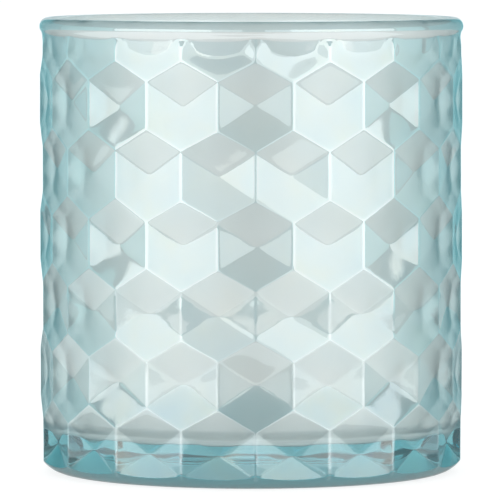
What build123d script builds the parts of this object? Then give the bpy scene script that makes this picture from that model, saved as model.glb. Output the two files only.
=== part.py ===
"""Pressed-glass candle holder: a straight round tumbler with a honeycomb relief round the outside.

Millimetres, +Z up. The origin is the middle of the ring that the holder stands on, and -Y is the front.
"""

import os
from math import cos, radians, sin

from build123d import *

# Driving dimensions
RIM_DIAMETER = 80.0
HEIGHT = 85.8
COLUMNS = 18  # honeycomb cells round the body

# Honeycomb: every row is turned half a cell against its neighbours
RIDGE_RADIUS = 39.93  # the corners of the cells lie on this cylinder
CELL_SIDE = 8.8  # length of a cell's upright border
ROW_PITCH = 12.8
LOWEST_ROW_Z = 6.35  # middle of the lowest row, which the base cuts off
ROWS = range(-1, 8)  # the end rows lie outside the body, so that the relief runs off both ends of it

# Rim and neck
BEAD_RADIUS = 1.66  # the rim is a full round, as thick as the wall
NECK_TOP_Z = 82.6
NECK_TOP_RADIUS = 39.52
NECK_TAPER = 0.06  # radius lost per millimetre downwards
NECK_FOOT_Z = 73.0  # hidden in the wall
SHOULDER_Z = 80.3  # above this the ridges run out into the neck

# Heel and base
ENVELOPE_RADIUS = 39.95
HEEL_WIDTH = 4.6
HEEL_HEIGHT = 2.8
HEEL_SAGITTA = 0.7  # how far the heel bulges beyond a plain chamfer
STAND_RING_INNER_RADIUS = 33.0
PUNT_DEPTH = 1.2  # rise of the hollow under the base

# Cavity
MOUTH_RADIUS = RIM_DIAMETER / 2 - 2 * BEAD_RADIUS
FLOOR_Z = 8.0
FLOOR_CORNER_RADIUS = 3.0

CELL_ANGLE = 360 / COLUMNS
CELL_POINT = ROW_PITCH - CELL_SIDE / 2  # height of a cell's top and bottom corners from its middle
# A cell is as deep as lets its middle lie in one plane with its upper three corners, and in one with its lower three
CELL_DEPTH = RIDGE_RADIUS * (1 - cos(radians(CELL_ANGLE / 2))) * CELL_POINT / (CELL_POINT - CELL_SIDE / 2)
BEAD_Z = HEIGHT - BEAD_RADIUS
BEAD_CENTRE_RADIUS = RIM_DIAMETER / 2 - BEAD_RADIUS
CLEAR = 20.0  # how far tools run past what they cut


def on_cylinder(radius, angle, z):
    """A point at an angle in degrees from the front, turning towards +X."""
    return Vector(radius * sin(radians(angle)), -radius * cos(radians(angle)), z)


def cell_centre(row, column):
    """Angle and height of the middle of a cell."""
    half_turn = 0 if row % 2 else CELL_ANGLE / 2
    return column * CELL_ANGLE + half_turn, LOWEST_ROW_Z + row * ROW_PITCH


def cell_corners(row, column):
    """The six corners of a cell on the ridge cylinder, from the top corner round towards +X."""
    angle, z = cell_centre(row, column)
    half_side = CELL_SIDE / 2
    top = (0, CELL_POINT)
    right = [(1, half_side), (1, -half_side)]
    bottom = (0, -CELL_POINT)
    left = [(-1, -half_side), (-1, half_side)]
    places = [top, *right, bottom, *left]
    return [on_cylinder(RIDGE_RADIUS, angle + side * CELL_ANGLE / 2, z + rise) for side, rise in places]


def flat(*corners):
    """The flat face with these corners."""
    return Face(Wire.make_polygon(corners))


def cell_facets(row, column):
    """A cell is a shallow hollow of four flat facets that meet at its middle."""
    angle, z = cell_centre(row, column)
    middle = on_cylinder(RIDGE_RADIUS - CELL_DEPTH, angle, z)
    top, upper_right, lower_right, bottom, lower_left, upper_left = cell_corners(row, column)
    upper_kite = flat(middle, upper_left, top, upper_right)
    lower_kite = flat(middle, lower_right, bottom, lower_left)
    return [upper_kite, lower_kite, flat(middle, upper_right, lower_right), flat(middle, lower_left, upper_left)]


def end_cap(row, upwards):
    """Closes the zigzag end of the relief with a fan of flat faces to a point on the axis."""
    reach = CLEAR if upwards else -CLEAR
    tip = Vector(0, 0, cell_centre(row, 0)[1] + reach)
    fans = []
    for column in range(COLUMNS):
        top, upper_right, lower_right, bottom, lower_left, upper_left = cell_corners(row, column)
        ends = (upper_left, top, upper_right) if upwards else (lower_left, bottom, lower_right)
        fans.append(flat(tip, ends[0], ends[1]))
        fans.append(flat(tip, ends[1], ends[2]))
    return fans


def honeycomb_block():
    """A solid block whose round side is all honeycomb, longer than the body at both ends."""
    facets = [f for row in ROWS for column in range(COLUMNS) for f in cell_facets(row, column)]
    facets += end_cap(ROWS[-1], True) + end_cap(ROWS[0], False)
    return Solid(Shell(facets))


def turned(outline):
    """Revolves a closed outline in the XZ plane about the Z axis."""
    return revolve(make_face(outline), Axis.Z)


def envelope():
    """What bounds the relief: a flat base, the rounded heel, and the shoulder where the ridges run out."""
    top_z = HEIGHT - 2 * BEAD_RADIUS
    with BuildLine(Plane.XZ) as outline:
        base = Line((0, 0), (ENVELOPE_RADIUS - HEEL_WIDTH, 0))
        heel = SagittaArc(base @ 1, (ENVELOPE_RADIUS, HEEL_HEIGHT), -HEEL_SAGITTA)
        side = Line(heel @ 1, (ENVELOPE_RADIUS, SHOULDER_Z))
        shoulder = Line(side @ 1, (NECK_TOP_RADIUS, NECK_TOP_Z))
        Polyline(shoulder @ 1, (0, top_z), (0, 0))
    return turned(outline.line)


def neck_and_rim():
    """The smooth band over the honeycomb and the round bead that is the rim."""
    foot_radius = NECK_TOP_RADIUS - NECK_TAPER * (NECK_TOP_Z - NECK_FOOT_Z)
    with BuildLine(Plane.XZ) as outline:
        Polyline(
            (0, NECK_FOOT_Z),
            (foot_radius, NECK_FOOT_Z),
            (NECK_TOP_RADIUS, NECK_TOP_Z),
            (BEAD_CENTRE_RADIUS + 0.8 * BEAD_RADIUS, BEAD_Z - 0.6 * BEAD_RADIUS),
            (BEAD_CENTRE_RADIUS, BEAD_Z),
            (0, BEAD_Z),
            close=True,
        )
    bead = Pos(0, 0, BEAD_Z) * Torus(BEAD_CENTRE_RADIUS, BEAD_RADIUS)
    return turned(outline.line) + bead


def cavity():
    """The inside: a flat floor, a rounded corner and a straight wall up to the bead."""
    with BuildLine(Plane.XZ) as outline:
        floor = Line((0, FLOOR_Z), (MOUTH_RADIUS - FLOOR_CORNER_RADIUS, FLOOR_Z))
        corner = JernArc(floor @ 1, (1, 0), FLOOR_CORNER_RADIUS, 90)
        wall = Line(corner @ 1, (MOUTH_RADIUS, BEAD_Z))
        over_bead = JernArc(wall @ 1, (0, 1), -BEAD_RADIUS, 90)
        Polyline(over_bead @ 1, (BEAD_CENTRE_RADIUS, HEIGHT + CLEAR), (0, HEIGHT + CLEAR), (0, FLOOR_Z))
    return turned(outline.line)


def punt():
    """The shallow domed hollow that leaves the base standing on a ring."""
    dome_radius = (STAND_RING_INNER_RADIUS**2 + PUNT_DEPTH**2) / (2 * PUNT_DEPTH)
    dome = Pos(0, 0, PUNT_DEPTH - dome_radius) * Sphere(dome_radius)
    below = Pos(0, 0, -PUNT_DEPTH) * Cylinder(RIM_DIAMETER, 4 * PUNT_DEPTH)
    return dome & below


def glass_vessel():
    body = (honeycomb_block() & envelope()) + neck_and_rim()
    return body - cavity() - punt()


def main():
    os.makedirs("parts", exist_ok=True)
    vessel = glass_vessel()
    print("glass_vessel: valid", vessel.is_valid, "volume", round(vessel.volume), "mm3")
    export_step(vessel, "parts/glass_vessel.step")


main()
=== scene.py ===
"""Looks of the pressed-glass candle holder: its glass, the studio round it and the camera.

Metres, +Z up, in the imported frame. Angles are in degrees from the front (-Y), turning towards +X.
The holder is one closed mesh, laid out as rows of points round its axis from under the base,
up the honeycomb, over the rim and down to the floor of the well.
"""

import math
import random

import bmesh
import bpy
import numpy as np
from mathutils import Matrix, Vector


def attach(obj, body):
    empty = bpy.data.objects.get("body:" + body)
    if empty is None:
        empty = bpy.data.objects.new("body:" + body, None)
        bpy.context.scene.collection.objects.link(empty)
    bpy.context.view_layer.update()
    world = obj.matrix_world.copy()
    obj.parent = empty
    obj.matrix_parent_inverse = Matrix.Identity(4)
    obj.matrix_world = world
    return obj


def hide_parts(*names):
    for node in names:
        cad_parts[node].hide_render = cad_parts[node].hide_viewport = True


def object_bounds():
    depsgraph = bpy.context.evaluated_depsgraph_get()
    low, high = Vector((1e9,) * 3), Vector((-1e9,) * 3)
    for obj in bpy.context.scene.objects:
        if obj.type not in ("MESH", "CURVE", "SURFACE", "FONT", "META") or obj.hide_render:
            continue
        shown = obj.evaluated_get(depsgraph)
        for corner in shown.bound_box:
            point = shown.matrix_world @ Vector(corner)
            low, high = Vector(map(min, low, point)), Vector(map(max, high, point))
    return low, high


MM = 0.001

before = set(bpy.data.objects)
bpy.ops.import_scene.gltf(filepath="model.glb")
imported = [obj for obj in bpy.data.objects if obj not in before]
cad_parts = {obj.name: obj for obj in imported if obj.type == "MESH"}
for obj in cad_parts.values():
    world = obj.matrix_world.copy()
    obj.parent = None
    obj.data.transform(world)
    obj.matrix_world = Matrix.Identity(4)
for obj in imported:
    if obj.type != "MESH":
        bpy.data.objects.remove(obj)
cad_low, cad_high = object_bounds()
RIM_RADIUS = (cad_high.x - cad_low.x) / 2
HEIGHT = cad_high.z - cad_low.z

# Honeycomb
COLUMNS = 18
PITCH = 360 / COLUMNS
RIDGE_RADIUS = 39.93 * MM
ROW_PITCH = 12.8 * MM
CELL_SIDE = 8.8 * MM
CELL_POINT = ROW_PITCH - CELL_SIDE / 2
CELL_DEPTH = 1.275 * MM
LOWEST_ROW_Z = 6.35 * MM
ROWS = range(-1, 8)
BODY_ROWS = 7
UPRIGHT_SOFTNESS = 0.08 * MM
RIDGE_SOFTNESS = 0.035 * MM
CREASE_SOFTNESS = 0.03 * MM
BLEND_SOFTNESS = 0.02 * MM
SHARP = 0.01  # share of the softness that is left where sharp ridges are asked for
CELL_REACH = 1.6 * ROW_PITCH  # how far above and below its middle a cell can count

# Waviness of the pressed surface
SWELL = 0.012 * MM
SWELL_LENGTH = 9 * MM
SWELL_SEED = 5
WAVES = 14

# How much the cells differ from each other: depth as a share, centre in degrees and metres
CELL_SEED = 18
DEPTH_SPREAD = 0.05
TURN_SPREAD = 0.2
RISE_SPREAD = 0.2 * MM

# Neck and rim
SHOULDER_Z = 80.3 * MM
NECK_SEARCH_Z = 74 * MM
NECK_TOP_Z = 82.6 * MM
NECK_TOP_RADIUS = 39.52 * MM
NECK_TAPER = 0.08  # the CAD has 0.06; steeper, the neck mirrors the dark beyond the table
ENVELOPE_RADIUS = 39.95 * MM
BEAD_RADIUS = 1.66 * MM
BEAD_Z = HEIGHT - BEAD_RADIUS
BEAD_CENTRE_RADIUS = RIM_RADIUS - BEAD_RADIUS
BEAD_FOOT_ANGLE = -37  # degrees from level at which the bead leaves the neck

# Heel and base
HEEL_WIDTH = 4.6 * MM
HEEL_HEIGHT = 2.8 * MM
HEEL_SAGITTA = 0.7 * MM
STAND_RING_INNER_RADIUS = 33.0 * MM
PUNT_DEPTH = 1.2 * MM

# Cavity
WELL_RADIUS = RIM_RADIUS - 2 * BEAD_RADIUS
FLOOR_Z = 8.0 * MM
FLOOR_CORNER_RADIUS = 3.0 * MM

# Leeway when points are sorted into inside, under and ridge
SLACK = 0.1 * MM
RIDGE_REACH = 0.6 * MM


def smooth_max(values, softness):
    """The largest of several arrays, with the creases where they cross rounded over."""
    top = np.maximum.reduce(values)
    return top + softness * np.log(sum(np.exp((v - top) / softness) for v in values))


def smooth_min(values, softness):
    """The smallest of several arrays, with the creases where they cross rounded over."""
    return -smooth_max([-v for v in values], softness)


def facet_planes(depth, nudge_angle, nudge_z):
    """The four flat facets of a cell as planes (x, y, z, offset), in the cell's own frame."""

    def place(radius, angle, z):
        turn = np.radians(angle)
        return np.array([radius * np.sin(turn), -radius * np.cos(turn), z])

    half, side = PITCH / 2, CELL_SIDE / 2
    middle = place(RIDGE_RADIUS - depth, nudge_angle, nudge_z)
    corners = [place(RIDGE_RADIUS, x * half, z * side) for x, z in ((-1, 1), (1, 1), (1, -1), (-1, -1))]
    planes = []
    for k in range(4):
        normal = np.cross(corners[k] - middle, corners[(k + 1) % 4] - middle)
        normal /= np.linalg.norm(normal)
        planes.append([*normal, normal @ middle])
    return planes


def cell_table():
    """Every cell's facets. No two cells are cut quite alike."""
    chance = random.Random(CELL_SEED)
    table = np.zeros((len(ROWS), COLUMNS, 4, 4))
    for row in range(len(ROWS)):
        for column in range(COLUMNS):
            depth = CELL_DEPTH * chance.uniform(1 - DEPTH_SPREAD, 1 + DEPTH_SPREAD)
            turn = chance.uniform(-TURN_SPREAD, TURN_SPREAD)
            table[row, column] = facet_planes(depth, turn, chance.uniform(-RISE_SPREAD, RISE_SPREAD))
    return table


CELLS = cell_table()


def relief(angle, z, soft=True):
    """Radius of the honeycomb at angles in degrees and heights."""
    share = 1 if soft else SHARP
    hollows = []
    for index, row in enumerate(ROWS):
        rise = z - (LOWEST_ROW_Z + row * ROW_PITCH)
        start = 0 if row % 2 else PITCH / 2
        nearest = np.round((angle - start) / PITCH)
        lean = angle - start - nearest * PITCH
        neighbours = []
        for step in (0, np.where(lean > 0, 1, -1)):
            column = nearest + step
            turn = np.radians(angle - start - column * PITCH)
            planes = CELLS[index, column.astype(int) % COLUMNS]
            radii = []
            for k in range(4):
                x, y, up, offset = (planes[..., k, i] for i in range(4))
                radii.append((offset - up * rise) / (x * np.sin(turn) - y * np.cos(turn)))
            neighbours.append(smooth_max(radii, share * CREASE_SOFTNESS))
        far = np.abs(rise) > CELL_REACH
        hollows.append(np.where(far, 2 * RIDGE_RADIUS, smooth_min(neighbours, share * UPRIGHT_SOFTNESS)))
    return smooth_min(hollows, share * RIDGE_SOFTNESS)


def neck_radius(z):
    """Radius of the plain neck that the ridges run out into."""
    return NECK_TOP_RADIUS - NECK_TAPER * (NECK_TOP_Z - z)


def shoulder_radius(z):
    """Where the ridges run out into the neck."""
    share = np.clip((z - SHOULDER_Z) / (NECK_TOP_Z - SHOULDER_Z), 0, 3)
    return ENVELOPE_RADIUS + share * (NECK_TOP_RADIUS - ENVELOPE_RADIUS)


HEEL_CHORD = math.hypot(HEEL_WIDTH, HEEL_HEIGHT)
HEEL_ARC = (HEEL_CHORD**2 / 4 + HEEL_SAGITTA**2) / (2 * HEEL_SAGITTA)
HEEL_SLOPE = math.atan2(HEEL_HEIGHT, HEEL_WIDTH)
HEEL_HALF_TURN = 2 * math.atan(2 * HEEL_SAGITTA / HEEL_CHORD)


def heel_point(share):
    """(radius, z) on the heel's arc: share 0 at the base, 1 at its top."""
    foot = ENVELOPE_RADIUS - HEEL_WIDTH
    start = HEEL_SLOPE - HEEL_HALF_TURN
    heading = start + 2 * HEEL_HALF_TURN * share
    radius = foot + HEEL_ARC * (np.sin(heading) - math.sin(start))
    return radius, HEEL_ARC * (math.cos(start) - np.cos(heading))


HALVINGS = 40


def first_crossing(gap, low, high):
    """Where gap turns from negative to positive between low and high, by halving."""
    for _ in range(HALVINGS):
        middle = (low + high) / 2
        beyond = gap(middle) > 0
        high = np.where(beyond, middle, high)
        low = np.where(beyond, low, middle)
    return (low + high) / 2


# Shares of the way from one ridge to the next, closer together beside the ridges
HALF_CELL_SHARES = [0, 0.02, 0.045, 0.085, 0.16, 0.28, 0.42, 0.58, 0.72, 0.84, 0.915, 0.955, 0.98]
KITE_SHARES = [0.015, 0.04, 0.08, 0.16, 0.32, 0.52, 0.72, 0.86, 0.94, 0.98, 1.0]
SIDE_SHARES = [0.04, 0.14, 0.32, 0.5, 0.68, 0.86, 0.96, 1.0]

# Where the other rows lie, as shares of the punt, the heel, the neck and the floor of the well
PUNT_SHARES = [0.02, 0.25, 0.5, 0.75, 0.92, 1.0]
HEEL_SHARES = [0, 0.12, 0.3, 0.5, 0.7, 0.85, 0.95]
NECK_SHARES = [0.04, 0.12, 0.3, 0.6, 0.85, 1.0]
FLOOR_SHARES = [0.9, 0.7, 0.45, 0.2, 0.02]
WELL_ROWS = 24

# Degrees between the rows round the bead and round the corner of the floor
BEAD_STEP = 7
CORNER_STEP = 10


def column_angles():
    """Azimuths of the grid's columns, closer together beside the upright ridges."""
    half = PITCH / 2
    return np.array([half * (i + share) for i in range(2 * COLUMNS) for share in HALF_CELL_SHARES])


def body_levels(angle):
    """Heights of the grid's rows at each angle, from the heel to the neck, along ridges and creases."""
    low = np.zeros_like(angle)

    def heel_over_relief(share):
        radius, z = heel_point(share)
        return radius - relief(angle, z, False)

    heel = first_crossing(heel_over_relief, low, low + 1)
    heel_z = heel_point(heel)[1]
    low = np.full_like(angle, NECK_SEARCH_Z)
    high = np.full_like(angle, NECK_TOP_Z)

    def neck_over_relief(z):
        return neck_radius(z) - np.minimum(relief(angle, z, False), shoulder_radius(z))

    neck_z = first_crossing(neck_over_relief, low, high)
    levels = [heel_z]
    for row in range(BODY_ROWS):
        middle = LOWEST_ROW_Z + row * ROW_PITCH
        start = 0 if row % 2 else PITCH / 2
        lean = np.abs((angle - start + PITCH / 2) % PITCH - PITCH / 2) / (PITCH / 2)
        crease = lean * CELL_SIDE / 2
        tip = CELL_POINT - lean * (CELL_POINT - CELL_SIDE / 2)
        stops = (middle - crease, middle + crease, middle + tip)
        for stop, shares in zip(stops, (KITE_SHARES, SIDE_SHARES, KITE_SHARES)):
            stop = np.clip(stop, heel_z, neck_z)
            begin = levels[-1]
            levels += [begin + share * (stop - begin) for share in shares]
    return heel, heel_z, levels, neck_z


def swell(angle, z, seed, wavelength):
    """Slow random waves over the glass, smooth all the way round."""
    chance = random.Random(seed)
    total = np.zeros_like(angle + z)
    most = int(2 * math.pi * RIM_RADIUS / wavelength)
    for _ in range(WAVES):
        laps = chance.randint(-most, most)
        up = chance.uniform(-1, 1) * 2 * math.pi / wavelength
        phase = chance.uniform(0, 2 * math.pi)
        total = total + np.cos(laps * np.radians(angle) + up * z + phase)
    return total / math.sqrt(WAVES / 2)


def outer_radius(angle, z):
    """Radius of the outside: the honeycomb with its waves, running out into the neck."""
    cells = relief(angle, z) + SWELL * swell(angle, z, SWELL_SEED, SWELL_LENGTH)
    body = smooth_min([cells, shoulder_radius(z)], BLEND_SOFTNESS)
    return smooth_max([body, neck_radius(z)], BLEND_SOFTNESS)


def vessel_grid():
    """Rows of points (radius, z), each once round, from under the base over the rim to the floor."""
    angle = column_angles()
    heel, heel_z, levels, neck_z = body_levels(angle)
    flat = np.zeros_like(angle)
    rows = []
    dome_radius = (STAND_RING_INNER_RADIUS**2 + PUNT_DEPTH**2) / (2 * PUNT_DEPTH)
    for share in PUNT_SHARES:
        radius = share * STAND_RING_INNER_RADIUS
        z = PUNT_DEPTH - dome_radius + math.sqrt(dome_radius**2 - radius**2)
        rows.append((flat + radius, flat + z))
    rows.append((flat + (STAND_RING_INNER_RADIUS + ENVELOPE_RADIUS - HEEL_WIDTH) / 2, flat))
    for share in HEEL_SHARES:
        rows.append(heel_point(share * heel))
    for z in levels:
        rows.append((outer_radius(angle, z), z))
    for share in NECK_SHARES:
        z = neck_z + share * (NECK_TOP_Z - neck_z)
        rows.append((outer_radius(angle, z), z))
    for turn in range(BEAD_FOOT_ANGLE, 181, BEAD_STEP):
        bead = math.radians(turn)
        radius = BEAD_CENTRE_RADIUS + BEAD_RADIUS * math.cos(bead)
        rows.append((flat + radius, flat + BEAD_Z + BEAD_RADIUS * math.sin(bead)))
    corner_z = FLOOR_Z + FLOOR_CORNER_RADIUS
    for share in np.linspace(0, 1, WELL_ROWS + 1)[1:]:
        rows.append((flat + WELL_RADIUS, flat + BEAD_Z + share * (corner_z - BEAD_Z)))
    for turn in range(CORNER_STEP, 91, CORNER_STEP):
        corner = math.radians(turn)
        radius = WELL_RADIUS - FLOOR_CORNER_RADIUS * (1 - math.cos(corner))
        rows.append((flat + radius, flat + corner_z - FLOOR_CORNER_RADIUS * math.sin(corner)))
    for share in FLOOR_SHARES:
        rows.append((flat + share * (WELL_RADIUS - FLOOR_CORNER_RADIUS), flat + FLOOR_Z))
    return angle, rows


def share_under(points):
    """1 under the base, 0 elsewhere."""
    radius = np.hypot(points[:, 0], points[:, 1])
    return (points[:, 2] < PUNT_DEPTH + SLACK) * (radius < ENVELOPE_RADIUS - HEEL_WIDTH)


def share_inside(points):
    """1 in the cavity and under the base, 0 outside, turning over on top of the rim."""
    radius = np.hypot(points[:, 0], points[:, 1])
    over_rim = np.clip((BEAD_CENTRE_RADIUS - radius) / BEAD_RADIUS, 0, 1)
    cavity = over_rim * (points[:, 2] > FLOOR_Z - SLACK)
    return np.maximum(cavity, share_under(points))


def share_ridge(points):
    """1 along the tops of the ridges, 0 elsewhere."""
    radius = np.hypot(points[:, 0], points[:, 1])
    angle = np.degrees(np.arctan2(points[:, 0], -points[:, 1]))
    z = points[:, 2]
    cut = relief(angle, z, False) - relief(angle, z)
    on_relief = (radius > RIDGE_RADIUS - RIDGE_REACH) * (z > HEEL_HEIGHT / 2) * (z < NECK_TOP_Z)
    return np.clip(cut / (RIDGE_SOFTNESS * math.log(2)), 0, 1) * on_relief


WELD = 1e-6  # points closer than this are made one
SLIVER = 1e-7  # edges shorter than this are taken away


def make_vessel():
    """The holder's closed mesh, with its shares inside, under and on the ridges as attributes."""
    angle, rows = vessel_grid()
    turn = np.radians(angle)
    count = len(angle)
    points = np.concatenate([np.stack([r * np.sin(turn), -r * np.cos(turn), z], 1) for r, z in rows])
    faces = []
    for i in range(len(rows) - 1):
        for j in range(count):
            k = (j + 1) % count
            faces.append((i * count + j, i * count + k, (i + 1) * count + k, (i + 1) * count + j))
    first, last = range(count), range((len(rows) - 1) * count, len(rows) * count)
    faces += [tuple(reversed(first)), tuple(last)]
    mesh = bpy.data.meshes.new("glass_holder")
    mesh.from_pydata([tuple(p) for p in points], [], faces)
    work = bmesh.new()
    work.from_mesh(mesh)
    bmesh.ops.remove_doubles(work, verts=work.verts, dist=WELD)
    bmesh.ops.dissolve_degenerate(work, edges=work.edges, dist=SLIVER)
    work.to_mesh(mesh)
    open_edges = sum(1 for e in work.edges if not e.is_manifold)
    print("glass_holder:", len(work.verts), "points,", len(work.faces), "faces,", open_edges, "open edges")
    work.free()
    mesh.polygons.foreach_set("use_smooth", [True] * len(mesh.polygons))
    points = np.array([point.co for point in mesh.vertices])
    for name, measure in (("inside", share_inside), ("under", share_under), ("ridge", share_ridge)):
        share = measure(points)
        mesh.attributes.new(name, "FLOAT", "POINT").data.foreach_set("value", share.astype(np.float32))
    holder = bpy.data.objects.new("glass_holder", mesh)
    bpy.context.scene.collection.objects.link(holder)
    return holder


# The pressed glass: what it absorbs, how deep its tint is on the surface, and a lighter tint along the
# ridges that paints a highlight on them
GLASS_IOR = 1.52
ABSORBED = (0.1, 0.68, 0.75, 1)
ABSORPTION = 30
TINT_A = (0.8, 0.818, 0.808, 1)
TINT_B = (0.815, 0.826, 0.811, 1)
# Lighter tint along the ridge tops: a painted highlight on the ridge lines
RIDGE_HIGHLIGHT_TINT = (0.98, 0.99, 0.98, 1)

# The lustre: a thin film, its thickness in nanometres, and a bright polish on the ridges
FILM_IOR = 2.1
FILM_THICKNESS = (50, 70)
POLISH_IOR = 2.6
POLISH_ROUGHNESS = 0.05

# The finish: glossy outside, satin inside, with a fine bump
GLOSS = (0.02, 0.055)
SATIN = 0.32
BUMP_STRENGTH = 0.3
BUMP_HEIGHT = 0.01 * MM

# Scale and detail of the noises, and the part of a noise's range that is spread out
FILM_NOISE = (110, 3)
TINT_NOISE = (60, 4)
GLOSS_NOISE = (200, 5)
BUMP_NOISE = (420, 2)
NOISE_RANGE = (0.3, 0.7)


def glass_material():
    """Tinted glass under a pearl lustre: glossy outside, satin inside, with a painted highlight along the
    ridges.
    """
    material = bpy.data.materials.new("aqua_glass")
    material.use_nodes = True
    nodes, links = material.node_tree.nodes, material.node_tree.links
    nodes.clear()
    output = nodes.new("ShaderNodeOutputMaterial")
    glass = nodes.new("ShaderNodeBsdfPrincipled")
    glass.inputs["Transmission Weight"].default_value = 1.0
    glass.inputs["IOR"].default_value = GLASS_IOR
    glass.inputs["Thin Film IOR"].default_value = FILM_IOR
    glass.inputs["Coat IOR"].default_value = POLISH_IOR
    glass.inputs["Coat Roughness"].default_value = POLISH_ROUGHNESS
    place = nodes.new("ShaderNodeTexCoord")

    def noise(scale, detail):
        texture = nodes.new("ShaderNodeTexNoise")
        texture.inputs["Scale"].default_value = scale
        texture.inputs["Detail"].default_value = detail
        links.new(place.outputs["Object"], texture.inputs["Vector"])
        return texture.outputs["Fac"]

    def attribute(name):
        node = nodes.new("ShaderNodeAttribute")
        node.attribute_name = name
        return node.outputs["Fac"]

    def spread(value, low, high):
        """The middle of a noise's range, spread from low to high."""
        node = nodes.new("ShaderNodeMapRange")
        node.inputs["From Min"].default_value, node.inputs["From Max"].default_value = NOISE_RANGE
        node.inputs["To Min"].default_value, node.inputs["To Max"].default_value = low, high
        links.new(value, node.inputs["Value"])
        return node.outputs["Result"]

    def mix(kind, factor, a, b):
        node = nodes.new("ShaderNodeMix")
        node.data_type = kind
        sockets = {socket.name: socket for socket in node.inputs if socket.enabled}
        links.new(factor, sockets["Factor"])
        for name, value in (("A", a), ("B", b)):
            if isinstance(value, bpy.types.NodeSocket):
                links.new(value, sockets[name])
            else:
                sockets[name].default_value = value
        return next(socket for socket in node.outputs if socket.enabled)

    ridge, inside, under = attribute("ridge"), attribute("inside"), attribute("under")
    links.new(ridge, glass.inputs["Coat Weight"])
    film = mix("FLOAT", under, spread(noise(*FILM_NOISE), *FILM_THICKNESS), 0.0)
    links.new(film, glass.inputs["Thin Film Thickness"])
    tint = mix("RGBA", spread(noise(*TINT_NOISE), 0, 1), TINT_A, TINT_B)
    # Lighten the tint along the ridges: a painted highlight
    tint = mix("RGBA", ridge, tint, RIDGE_HIGHLIGHT_TINT)
    links.new(tint, glass.inputs["Base Color"])
    roughness = mix("FLOAT", inside, spread(noise(*GLOSS_NOISE), *GLOSS), SATIN)
    links.new(roughness, glass.inputs["Roughness"])
    bump = nodes.new("ShaderNodeBump")
    bump.inputs["Strength"].default_value = BUMP_STRENGTH
    bump.inputs["Distance"].default_value = BUMP_HEIGHT
    links.new(noise(*BUMP_NOISE), bump.inputs["Height"])
    links.new(bump.outputs["Normal"], glass.inputs["Normal"])
    volume = nodes.new("ShaderNodeVolumeAbsorption")
    volume.inputs["Color"].default_value = ABSORBED
    volume.inputs["Density"].default_value = ABSORPTION
    links.new(glass.outputs["BSDF"], output.inputs["Surface"])
    links.new(volume.outputs["Volume"], output.inputs["Volume"])
    return material


# The camera stands a little above the rim's height and a little left of a column of cells
CAMERA_TURN = -1.147
CAMERA_RISE = 3.487
CAMERA_DISTANCE = 1.13865
LENS = 433.5
AIM_HEIGHT = 42 * MM
SHIFT = (-0.0027, -0.0023)
SENSOR_WIDTH = 36
NEAREST, FARTHEST = 0.05, 20


def direction(azimuth, elevation):
    """The unit vector towards an azimuth and an elevation."""
    turn, rise = math.radians(azimuth), math.radians(elevation)
    return Vector((math.sin(turn) * math.cos(rise), -math.cos(turn) * math.cos(rise), math.sin(rise)))


def make_camera():
    """The photo's camera: a long lens with next to no shift."""
    back = direction(CAMERA_TURN, CAMERA_RISE)
    data = bpy.data.cameras.new("camera")
    data.lens = LENS
    data.sensor_width = SENSOR_WIDTH
    data.clip_start, data.clip_end = NEAREST, FARTHEST
    data.shift_x, data.shift_y = SHIFT
    camera = bpy.data.objects.new("camera", data)
    camera.location = Vector((0, 0, AIM_HEIGHT)) + back * CAMERA_DISTANCE
    camera.rotation_mode = "QUATERNION"
    camera.rotation_quaternion = (-back).to_track_quat("-Z", "Y")
    bpy.context.scene.collection.objects.link(camera)
    bpy.context.scene.camera = camera


# Colours of the studio: the soft boxes a touch warm, the fills, the side paper and the dark teal
WARM = (1, 0.975, 0.96)
TEAL = (0.55, 0.97, 0.98)
DEEP_TEAL = (0.15, 0.9, 1)
PALE_TEAL = (0.6, 0.85, 0.88, 1)
DARK_TEAL = (0.11, 0.275, 0.32, 1)

# How far the bounce cards lie above the table
CARD_LIFT = 1 * MM


def soft_box(name, place, facing, width, height, brightness, colour):
    """A flat soft light. Its brightness doesn't change with its size, and the camera doesn't see it."""
    data = bpy.data.lights.new(name, "AREA")
    data.shape = "RECTANGLE"
    data.size, data.size_y = width, height
    data.energy = brightness * width * height * math.pi
    data.color = colour
    light = bpy.data.objects.new(name, data)
    light.location = place
    light.rotation_mode = "QUATERNION"
    light.rotation_quaternion = (-facing).to_track_quat("Z", "Y")
    light.visible_camera = False
    bpy.context.scene.collection.objects.link(light)
    return light


def upright_box(name, start, end, distance, top, brightness, colour):
    """A soft box that stands on the table and faces the holder, between two azimuths."""
    outwards = direction((start + end) / 2, 0)
    width = 2 * distance * math.tan(math.radians(end - start) / 2)
    place = outwards * distance + Vector((0, 0, top / 2))
    return soft_box(name, place, -outwards, width, top, brightness, colour)


def bounce_card(name, start, end, inner, outer, brightness, colour):
    """A bright card that lies on the table, between two azimuths and two distances."""
    outwards = direction((start + end) / 2, 0)
    middle = (inner + outer) / 2
    width = 2 * middle * math.tan(math.radians(end - start) / 2)
    place = outwards * middle + Vector((0, 0, CARD_LIFT))
    card = soft_box(name, place, Vector((0, 0, 1)), width, outer - inner, brightness, colour)
    card.rotation_mode = "XYZ"
    card.rotation_euler = (math.pi, 0, math.radians((start + end) / 2))
    return card


def paper_material(name, shade, glow, roughness=0.9, ior=1.5, tint=(1, 1, 1, 1)):
    """A grey or white surface that glows a little, in the tint's colour."""
    material = bpy.data.materials.new(name)
    material.use_nodes = True
    paper = material.node_tree.nodes["Principled BSDF"]
    paper.inputs["Base Color"].default_value = (shade, shade, shade, 1)
    paper.inputs["Roughness"].default_value = roughness
    paper.inputs["IOR"].default_value = ior
    paper.inputs["Emission Color"].default_value = tint
    paper.inputs["Emission Strength"].default_value = glow
    return material


def add_stage(name, points, faces, material):
    """A flat-sided piece of the studio, not of the holder."""
    mesh = bpy.data.meshes.new(name)
    mesh.from_pydata(points, [], faces)
    mesh.materials.append(material)
    stage = bpy.data.objects.new(name, mesh)
    bpy.context.scene.collection.objects.link(stage)
    return stage


SQUARE = [(-1, -1), (1, -1), (1, 1), (-1, 1)]


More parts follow.
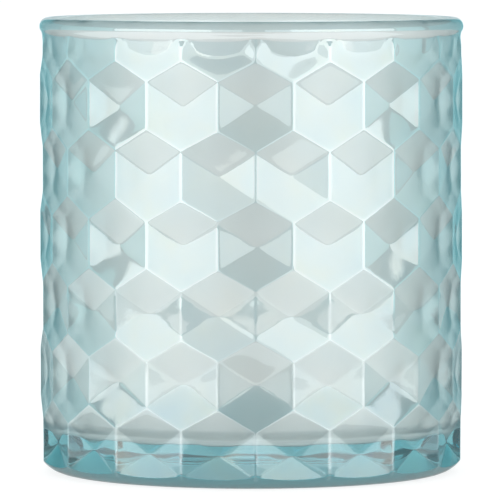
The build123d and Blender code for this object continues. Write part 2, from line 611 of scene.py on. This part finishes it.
def make_stage():
    """A white floor and room, teal paper at the sides and the darker table that the glass mirrors."""
    wide, tall = 6, 6
    corners = [(x * wide, y * wide, z) for z in (0, tall) for x, y in SQUARE]
    floor = add_stage("floor", corners[:4], [(0, 1, 2, 3)], paper_material("white_paper", 0.25, 0.78))
    floor.visible_glossy = False
    walls = [(k, (k + 1) % 4, (k + 1) % 4 + 4, k + 4) for k in range(4)] + [(7, 6, 5, 4)]
    room = add_stage("room", corners, walls, paper_material("white_wall", 0.05, 0.98))
    room.visible_glossy = False
    near, far, top, half = -0.2, 0.9, 1.2, 1.2
    wing_paper = paper_material("teal_paper", 0.25, 0.85, tint=PALE_TEAL)
    for side in (-1, 1):
        foot = [(side * half, far, 0), (side * half, near, 0)]
        corners = foot + [(side * half, near, top), (side * half, far, top)]
        wing = add_stage("wing", corners, [(0, 1, 2, 3)], wing_paper)
        wing.visible_camera = False
        wing.visible_glossy = False
    edge = 0.42
    corners = [(x * edge, y * edge, 0) for x, y in SQUARE]
    pale_table = paper_material("pale_table", 0.5, 0, roughness=0.12, ior=1.2)
    table = add_stage("table", corners, [(0, 1, 2, 3)], pale_table)
    table.visible_camera = False
    table.visible_transmission = False
    table.visible_diffuse = False
    table.visible_shadow = False
    world = bpy.data.worlds.new("studio")
    world.use_nodes = True
    background = world.node_tree.nodes["Background"]
    background.inputs["Color"].default_value = DARK_TEAL
    background.inputs["Strength"].default_value = 1.0
    bpy.context.scene.world = world


make_camera()
make_stage()

# Upright boxes: start, end, distance, top, brightness, colour
upright_box("left_box", -78, -22, 0.5, 0.215, 0.75, WARM)
upright_box("left_glow", -78, -6, 0.52, 0.22, 0.65, WARM)
upright_box("right_box", 19, 80, 0.5, 0.215, 0.7, WARM)
upright_box("right_glow", 6, 80, 0.52, 0.22, 0.7, WARM)
upright_box("left_fill", -124, -79, 0.5, 0.25, 0.5, TEAL)
upright_box("right_fill", 81, 104, 0.5, 0.25, 0.55, TEAL)
for name, start, end in (("left_rear", -168, -125), ("right_rear", 108, 168)):
    rear = upright_box(name, start, end, 0.5, 0.25, 0.28, DEEP_TEAL)
    rear.visible_transmission = False

# Cards on the table: start, end, inner, outer, brightness, colour
bounce_card("left_card", -100, -24, 0.07, 0.28, 0.46, WARM)
bounce_card("right_card", 16, 74, 0.07, 0.28, 0.44, WARM)

# Behind the holder, for the rim, and above it
back_panel = upright_box("back_panel", 168, 192, 0.8, 0.4, 0.55, WARM)
back_panel.visible_transmission = False
soft_box("top_box", Vector((0, 0, 0.8)), Vector((0, 0, -1)), 0.9, 0.9, 0.1, WARM)

holder = make_vessel()
holder.data.materials.append(glass_material())
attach(holder, "root")
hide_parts("glass_vessel")

scene = bpy.context.scene
scene.view_settings.view_transform = "Standard"
